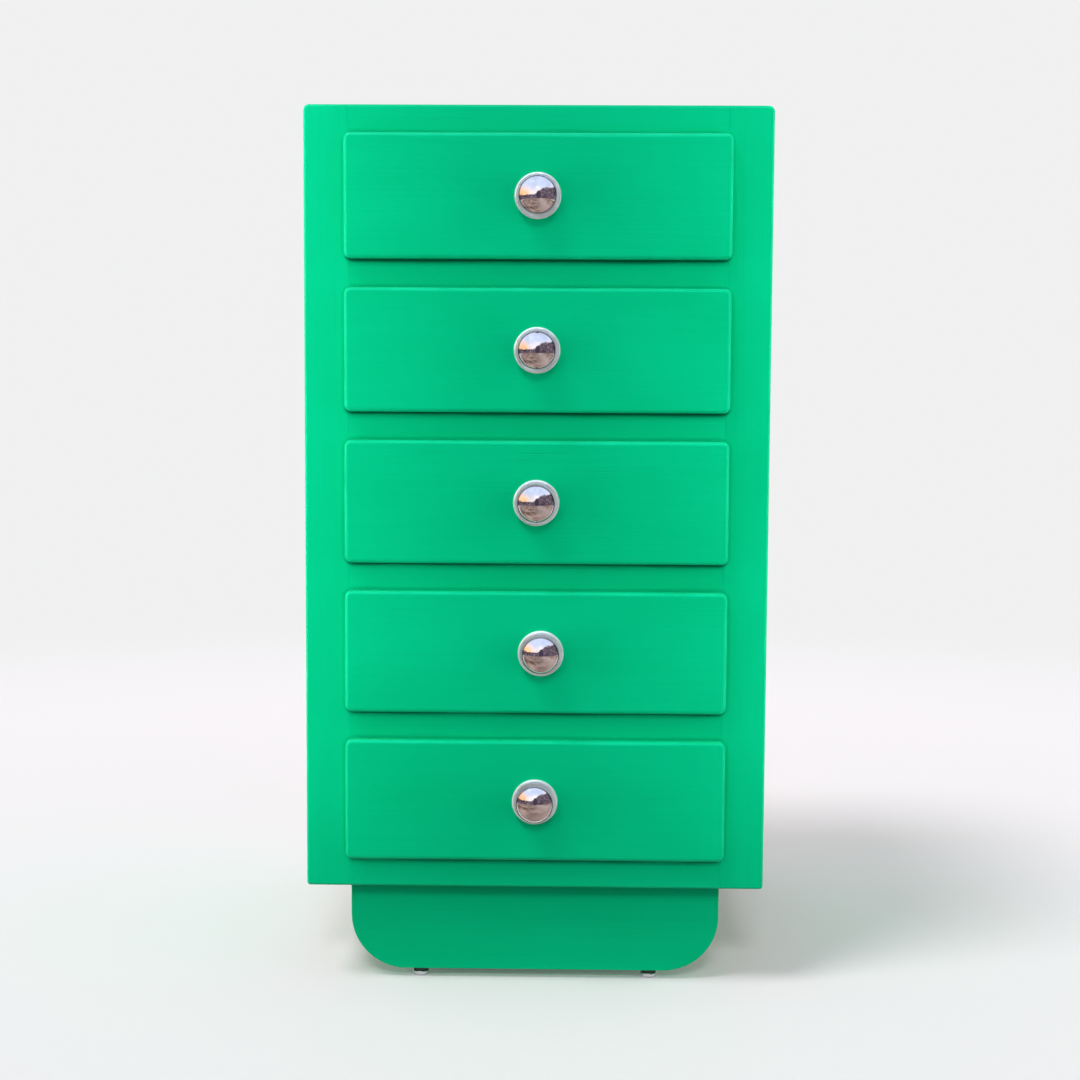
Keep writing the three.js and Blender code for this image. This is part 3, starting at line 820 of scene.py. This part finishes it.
for n in DRAWERS:
    drawer = f"drawer_{n}"
    low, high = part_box(drawer + "_knob")
    plate_low, plate_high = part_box(drawer + "_backplate")
    centre = across_middle(low, high)
    radius = (high.x - low.x) / 2
    seat = -plate_low.y + 0.3 * MM - 1.7 * MM
    bm = turned(knob_profile(radius, seat, -low.y, -high.y), 72, centre)
    mark_rim_and_undercut(bm, centre, 7.2 * MM, radius + MM, low.y + 0.42 * radius, high.y)
    finish_piece(drawer + "_knob_turned", bm, drawer, "polished_chrome", CHROME, drawer + "_knob")
    plate_radius = (plate_high.x - plate_low.x) / 2 - 0.7 * MM
    plate = drawer + "_backplate"
    bm = turned(plate_profile(plate_radius, -plate_high.y, plate_high.y - plate_low.y), 72, centre)
    finish_piece(plate + "_pressed", bm, drawer, "plated_backplate", PLATED, plate)


def glide_cap_profile(radius, height):
    """A domed steel cap: small flat on the floor, full belly, edge rolled in over the cushion."""
    flat, belly = 4.65 * MM, 0.62 * height
    return (
        [(0, 0), (flat, 0)]
        + arc((flat, belly), (radius - flat, belly), -85, 0, 10)
        + arc((radius - 1.0 * MM, height - 1.1 * MM), (1.0 * MM, 1.1 * MM), 10, 90, 5)
        + [(1.5 * MM, height), (1.5 * MM, height - 0.8 * MM), (0, height - 0.8 * MM)]
    )


def cushion_profile(low, high, radius):
    """The rubber ring between a glide's cap and the plinth, bulging a little under the load."""
    half = (high - low) / 2
    return (
        [(1.7 * MM, low)]
        + arc((radius - 0.8 * MM, low + half), (0.8 * MM, half), -90, 90, 8)
        + [(1.7 * MM, high), (1.7 * MM, low)]
    )


def nail_profile(radius, low, high):
    """The glide's nail, from inside its cap to the point."""
    return [(0, low), (radius, low), (radius, high - 2 * radius), (0.3 * radius, high - 0.3 * MM), (0, high)]


for end in ("front", "rear"):
    for hand in ("left", "right"):
        node = f"glide_{end}_{hand}"
        low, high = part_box(node)
        centre = Vector(((low.x + high.x) / 2, (low.y + high.y) / 2, 0))
        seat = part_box("plinth_" + end)[0].z  # the underside that the glide carries
        cap_top = 0.56 * seat
        cap = turned(glide_cap_profile((high.x - low.x) / 2, cap_top), 48, centre, forward=False)
        finish_piece(node + "_cap", cap, "case", "steel_glide", STEEL, node)
        ring = cushion_profile(cap_top + 0.05 * MM, seat - 0.1 * MM, 6.7 * MM)
        finish_piece(node + "_cushion", turned(ring, 40, centre, forward=False), "case", None, RUBBER)
        nail = turned(nail_profile(1.3 * MM, cap_top - 0.7 * MM, high.z), 20, centre, forward=False)
        finish_piece(node + "_nail", nail, "case", "steel_glide", STEEL)

# ---------------- panel pins


PIN = {"Head Radius": 1.3 * MM, "Head Depth": 0.5 * MM, "Shank Radius": 0.6 * MM, "Shank Length": 9 * MM}
PIN_POINT = 0.3 * MM
PIN_SINK = 0.12 * MM  # the most that a head is driven below the others


def fastener_tree():
    """Pins set at equal steps along a drawn path, each turned and sunk a little differently."""
    tree = bpy.data.node_groups.new("Fasteners along a path", "GeometryNodeTree")
    kinds = {"Geometry": "NodeSocketGeometry"}
    kinds.update(dict.fromkeys(("Step", *PIN, "Sink"), FLOAT))
    kinds.update({"Lean": "NodeSocketRotation", "Seed": "NodeSocketInt", "Material": "NodeSocketMaterial"})
    for label, kind in kinds.items():
        tree.interface.new_socket(label, in_out="INPUT", socket_type=kind)
    tree.interface.new_socket("Geometry", in_out="OUTPUT", socket_type="NodeSocketGeometry")
    given = add(tree, "NodeGroupInput").outputs
    path = add(tree, "GeometryNodeMeshToCurve", {"Mesh": given["Geometry"]}).outputs["Curve"]
    spaced = {"Curve": path, "Length": given["Step"]}
    points = add(tree, "GeometryNodeResampleCurve", spaced, mode="LENGTH")

    def upright(sizes, base):
        """A cone of these sizes, standing on a base this high."""
        cone = add(tree, "GeometryNodeMeshCone", sizes).outputs["Mesh"]
        lift = add(tree, "ShaderNodeCombineXYZ", {"Z": base}).outputs[0]
        return add(tree, "GeometryNodeTransform", {"Geometry": cone, "Translation": lift})

    under_head = times(tree, given["Head Depth"], -1.0)
    head = {"Vertices": 14, "Side Segments": 2, "Radius Top": given["Head Radius"]}
    head.update({"Radius Bottom": given["Shank Radius"], "Depth": given["Head Depth"]})
    shank = {"Vertices": 10, "Radius Top": given["Shank Radius"], "Radius Bottom": PIN_POINT}
    shank["Depth"] = given["Shank Length"]
    tip = maths(tree, "MULTIPLY_ADD", given["Shank Length"], -1.0, under_head)
    head, shank = upright(head, under_head), upright(shank, tip)
    whole = add(tree, "GeometryNodeJoinGeometry")
    for part in (shank, head):
        feed(tree, whole, {"Geometry": part.outputs["Geometry"]})
    spun = add(tree, "FunctionNodeRandomValue", {"Seed": given["Seed"]}, data_type="FLOAT_VECTOR")
    spun.inputs[0].default_value, spun.inputs[1].default_value = (-0.02, -0.02, 0.0), (0.02, 0.02, 6.28)
    spun = add(tree, "FunctionNodeEulerToRotation", {"Euler": spun.outputs[0]}).outputs[0]
    turned_to = add(tree, "FunctionNodeRotateRotation", {0: given["Lean"], 1: spun}, rotation_space="LOCAL")
    stand = {"Points": points.outputs["Curve"], "Instance": whole.outputs[0], "Rotation": turned_to.outputs[0]}
    stand = add(tree, "GeometryNodeInstanceOnPoints", stand).outputs["Instances"]
    depth = add(tree, "FunctionNodeRandomValue", {"Seed": given["Seed"]}, data_type="FLOAT")
    tree.links.new(given["Sink"], depth.inputs[3])
    depth = times(tree, depth.outputs[1], -1.0)
    depth = add(tree, "ShaderNodeCombineXYZ", {"Z": depth}).outputs[0]
    sunk = add(tree, "GeometryNodeTranslateInstances", {"Instances": stand, "Translation": depth})
    real = add(tree, "GeometryNodeRealizeInstances", {"Geometry": sunk.outputs[0]}).outputs[0]
    dressed = add(tree, "GeometryNodeSetMaterial", {"Geometry": real, "Material": given["Material"]})
    tree.links.new(dressed.outputs[0], add(tree, "NodeGroupOutput").inputs[0])
    return tree


FASTENERS = fastener_tree()


def set_pins(name, body, paths, lean, step, seed):
    """Sets one body's pins along its paths and keeps them as one plain mesh."""
    mesh = bpy.data.meshes.new(name)
    points = [point for path in paths for point in path]
    edges = [(2 * i, 2 * i + 1) for i in range(len(paths))]
    mesh.from_pydata(points, edges, [])
    piece = bpy.data.objects.new(name, mesh)
    scene.collection.objects.link(piece)
    setting = piece.modifiers.new("fasteners", "NODES")
    setting.node_group = FASTENERS
    values = dict(PIN, Step=step, Sink=PIN_SINK, Lean=lean, Seed=seed, Material=ZINC)
    for item in FASTENERS.interface.items_tree:
        if item.in_out == "INPUT" and item.name in values:
            setting[item.identifier] = values[item.name]
    settle(piece)
    return declare(piece, body, "steel_glide")


def pinned_back():
    """Panel pins through the plywood back, all round its edge."""
    low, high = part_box("back_panel")
    margin = 4.5 * MM
    x0, x1, z0, z1 = low.x + margin, high.x - margin, low.z + margin, high.z - margin
    y = BACK_REAR + 0.05 * MM
    paths = [[(x0, y, z), (x1, y, z)] for z in (z0, z1)]
    inner = 60 * MM
    paths += [[(x, y, z0 + inner), (x, y, z1 - inner)] for x in (x0, x1)]
    set_pins("back_panel_pins", "case", paths, (-math.pi / 2, 0, 0), step=62 * MM, seed=3)


def pinned_bottom(n):
    """Pins up through a drawer's bottom into the underside of its back."""
    drawer = f"drawer_{n}"
    low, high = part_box(drawer + "_bottom")
    back_low, back_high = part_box(drawer + "_back")
    y = (back_low.y + back_high.y) / 2
    path = [(x, y, low.z - 0.05 * MM) for x in (low.x + 25 * MM, high.x - 25 * MM)]
    set_pins(drawer + "_bottom_pins", drawer, [path], (math.pi, 0, 0), step=80 * MM, seed=10 + n)


pinned_back()
for n in DRAWERS:
    pinned_bottom(n)

# ---------------- studio

FLOOR_TONE = (0.89, 0.85, 0.875, 1)  # near the piece, where its shadow falls
FLOOR_GLOW = (0.075, 0.075, 0.076, 1)  # fills that shadow a little
WALL_TONE = (0.875, 0.875, 0.88, 1)  # glows evenly from behind, with no seam


def backdrop():
    """A round seamless sweep: floor, curve and wall in one pale surface."""
    floor, curve, wall_top = 3.2, 1.4, 2.3
    profile = [(0, 0), (floor * 0.5, 0)] + arc((floor, curve), (curve, curve), -90, 0, 16)
    profile += [(floor + curve, wall_top)]
    bm = turned(profile, 96, (0, 0, 0), forward=False)
    bmesh.ops.reverse_faces(bm, faces=bm.faces)
    sweep = as_object("studio_sweep", bm)
    sweep.data.shade_smooth()
    material, tree, shader = new_material("pale_sweep")
    place, _ = own_place(tree)
    far = ramp(tree, length(tree, stretched(tree, place, (1.0, 1.0, 0.0))), 1.15, 2.3)
    tone = blend_colour(tree, far, FLOOR_TONE, (0, 0, 0, 1))
    glow = blend_colour(tree, far, FLOOR_GLOW, WALL_TONE)
    feed(tree, shader, {"Base Color": tone, "Emission Color": glow, "Emission Strength": 1.0})
    feed(tree, shader, {"Roughness": 0.9, "Specular IOR Level": 0.0})
    sweep.data.materials.append(material)
    past_sweep = bpy.data.collections.new("lit_past_the_sweep")
    past_sweep.objects.link(sweep)
    past_sweep.collection_objects[0].light_linking.link_state = "EXCLUDE"
    return past_sweep


def clear_behind(tree, front):
    """Lets a studio piece be there only from its lit face."""
    clear = add(tree, "ShaderNodeBsdfTransparent").outputs[0]
    back = add(tree, "ShaderNodeNewGeometry").outputs["Backfacing"]
    mixed = add(tree, "ShaderNodeMixShader", {0: back, 1: front.outputs[0], 2: clear})
    feed(tree, tree.nodes["Material Output"], {"Surface": mixed.outputs[0]})


def seen_from_front(name, colour):
    """The finish of a plain card."""
    material, tree, shader = new_material(name)
    clear_behind(tree, feed(tree, shader, {"Base Color": colour, "Roughness": 0.8}))
    return material


def open_sky():
    """What bright metal sees in front of it: pale sky, a dark skyline, low warm sun, brown ground."""
    material, tree, _ = new_material("sky_and_ground")
    place, _ = own_place(tree)
    spot = add(tree, "ShaderNodeVectorMath", {0: place}, operation="NORMALIZE").outputs[0]
    at = axes(tree, spot)
    roofs = blotches(tree, spot, 3.2, 4.0, 0.6)
    rise = maths(tree, "MULTIPLY_ADD", ramp(tree, at["X"], -0.35, 0.5), 0.42, -0.02)
    skyline = maths(tree, "MULTIPLY_ADD", roofs, 0.30, rise)
    ground = blotches(tree, spot, 5.5, 3.0, 0.65)
    colour = blend_colour(tree, ramp(tree, ground, 0.35, 0.7), (0.30, 0.185, 0.165, 1), (0.46, 0.33, 0.31, 1))
    leaves = blotches(tree, spot, 13.0, 4.0, 0.7)
    dark = blend_colour(tree, ramp(tree, ground, 0.3, 0.6), (0.030, 0.028, 0.035, 1), (0.17, 0.12, 0.16, 1))
    dark = blend_colour(tree, ramp(tree, leaves, 0.52, 0.68), dark, (0.52, 0.46, 0.54, 1))
    colour = blend_colour(tree, ramp(tree, at["Z"], -0.22, -0.10), colour, dark)
    pale = blend_colour(tree, ramp(tree, at["Z"], 0.2, 0.8), (1.25, 1.15, 1.12, 1), (0.80, 0.95, 1.25, 1))
    warm = times(tree, ramp(tree, at["X"], -0.45, -0.80), ramp(tree, at["Z"], 0.75, 0.15))
    pale = blend_colour(tree, warm, pale, (1.5, 0.85, 0.42, 1))
    above = maths(tree, "SUBTRACT", at["Z"], skyline)
    colour = blend_colour(tree, ramp(tree, above, -0.05, 0.05), colour, pale)
    onlooker = {0: stretched(tree, spot, (5.5, 0.0, 2.6)), 1: (0.3, 0.0, 0.1)}
    onlooker = add(tree, "ShaderNodeVectorMath", onlooker, operation="DISTANCE").outputs["Value"]
    colour = blend_colour(tree, ramp(tree, onlooker, 1.0, 0.8), colour, (0.075, 0.055, 0.085, 1))
    clear_behind(tree, add(tree, "ShaderNodeEmission", {"Color": colour, "Strength": 1.0}))
    radius = 2.6
    bm = turned(arc((0, 0), (radius, radius), -90, 90, 24), 48, (0, 0, 0), forward=False)
    geometry = bm.verts[:] + bm.edges[:] + bm.faces[:]
    bmesh.ops.bisect_plane(bm, geom=geometry, plane_co=(0, 0.6, 0), plane_no=(0, 1, 0), clear_outer=True)
    bmesh.ops.reverse_faces(bm, faces=bm.faces)
    surround = as_object("sky_and_ground", bm)
    surround.data.materials.append(material)
    surround.location.z = 0.45
    only_in_metal(surround)


def only_in_metal(held):
    """A studio piece that shows in polished metal and nowhere else."""
    for part in ("camera", "shadow", "diffuse", "transmission", "volume_scatter"):
        setattr(held, "visible_" + part, False)


def brown_ground():
    """The swept brown yard that fills the lower half of a bright knob."""
    material, tree, _ = new_material("brown_ground")
    place, _ = own_place(tree)
    swirl = blotches(tree, stretched(tree, place, (1.3, 2.2, 1.0)), 1.6, 3.5, 0.6)
    colour = blend_colour(tree, ramp(tree, swirl, 0.3, 0.7), (0.13, 0.075, 0.06, 1), (0.56, 0.43, 0.37, 1))
    path = maths(tree, "MULTIPLY_ADD", swirl, 1.2, axes(tree, place)["X"])
    path = ramp(tree, maths(tree, "ABSOLUTE", path), 0.1, 0.7, 1.0, 0.0)
    colour = blend_colour(tree, times(tree, path, 0.6), colour, (0.66, 0.56, 0.52, 1))
    clear_behind(tree, add(tree, "ShaderNodeEmission", {"Color": colour, "Strength": 1.0}))
    only_in_metal(card("brown_ground", (0, -1.4, 0.006), (0, -1.4, 1), (4.4, 2.4), material))


def card(name, place, aim, size, material):
    """A studio card that the camera does not see, though the piece and its metal do."""
    wide, tall = size[0] / 2, size[1] / 2
    mesh = bpy.data.meshes.new(name)
    corners = [(-wide, -tall, 0), (wide, -tall, 0), (wide, tall, 0), (-wide, tall, 0)]
    mesh.from_pydata(corners, [], [(0, 1, 2, 3)])
    mesh.materials.append(material)
    held = bpy.data.objects.new(name, mesh)
    held.location = place
    held.rotation_euler = (Vector(aim) - Vector(place)).to_track_quat("Z", "Y").to_euler()
    held.visible_camera = False
    held.visible_shadow = False
    scene.collection.objects.link(held)
    return held


def soft_light(name, place, aim, size, power):
    """A long lamp that neither the camera nor the metal sees."""
    data = bpy.data.lights.new(name, "AREA")
    data.shape = "RECTANGLE"
    data.size, data.size_y = size
    data.energy = power
    data.spread = math.radians(110)
    lamp = bpy.data.objects.new(name, data)
    lamp.location = place
    lamp.rotation_euler = (Vector(aim) - Vector(place)).to_track_quat("-Z", "Y").to_euler()
    lamp.visible_camera = False
    lamp.visible_glossy = False
    scene.collection.objects.link(lamp)
    return lamp


def soft_sun(name, direction, strength, spread):
    data = bpy.data.lights.new(name, "SUN")
    data.energy = strength
    data.angle = math.radians(spread)
    lamp = bpy.data.objects.new(name, data)
    lamp.rotation_euler = Vector(direction).to_track_quat("-Z", "Y").to_euler()
    scene.collection.objects.link(lamp)


def sky(strength):
    world = bpy.data.worlds.new("studio_ceiling")
    world.use_nodes = True
    shade = world.node_tree.nodes["Background"]
    shade.inputs["Color"].default_value = (0.95, 0.98, 1.0, 1)
    shade.inputs["Strength"].default_value = strength
    scene.world = world


def camera():
    """A long lens held a little high and to the right, tipped down."""
    tilt, turn, lean = math.radians(5.33), math.radians(-1.01), math.radians(0.32)
    data = bpy.data.cameras.new("studio_camera")
    data.lens = 66.7
    data.sensor_width = 36
    held = bpy.data.objects.new("studio_camera", data)
    level = math.cos(tilt)
    ahead = Vector((math.sin(turn) * level, math.cos(turn) * level, -math.sin(tilt)))
    right = Vector((math.cos(turn), -math.sin(turn), 0))
    up = right.cross(ahead)
    across = math.cos(lean) * right + math.sin(lean) * up
    upward = math.cos(lean) * up - math.sin(lean) * right
    place = Vector((0.0335, FACE - 1.719, CASE_LOW.z + 0.4665))
    turned_to = Matrix((across, upward, -ahead)).transposed()
    held.matrix_world = Matrix.Translation(place) @ turned_to.to_4x4()
    scene.collection.objects.link(held)
    scene.camera = held


open_sky()
brown_ground()
dusk = seen_from_front("dark_card", (0.18, 0.165, 0.16, 1))
card("floor_mat", (0, -1.178, 0.004), (0, -1.178, 1), (5.0, 2.0), dusk).visible_glossy = False
card("front_flag", (0, -2.3, 1.0), (0, 0, 1.0), (4.0, 2.4), dusk).visible_glossy = False
past_sweep = backdrop()
sky(strength=0.42)
soft_sun("high_left", (0.42, 0.34, -1.0), strength=1.27, spread=20)
soft_sun("high_front", (0.0, 1.0, -0.7), strength=0.78, spread=12)
for side, power in ((-1, 0.68), (1, 0.56)):
    aim = (side * 0.15, FACE, 0.53)
    strip = soft_light("edge_strip", (side * 0.36, -0.33, 0.54), aim, (0.05, 0.85), power)
    strip.light_linking.receiver_collection = past_sweep
camera()
scene.view_settings.view_transform = "Standard"
scene.view_settings.look = "None"
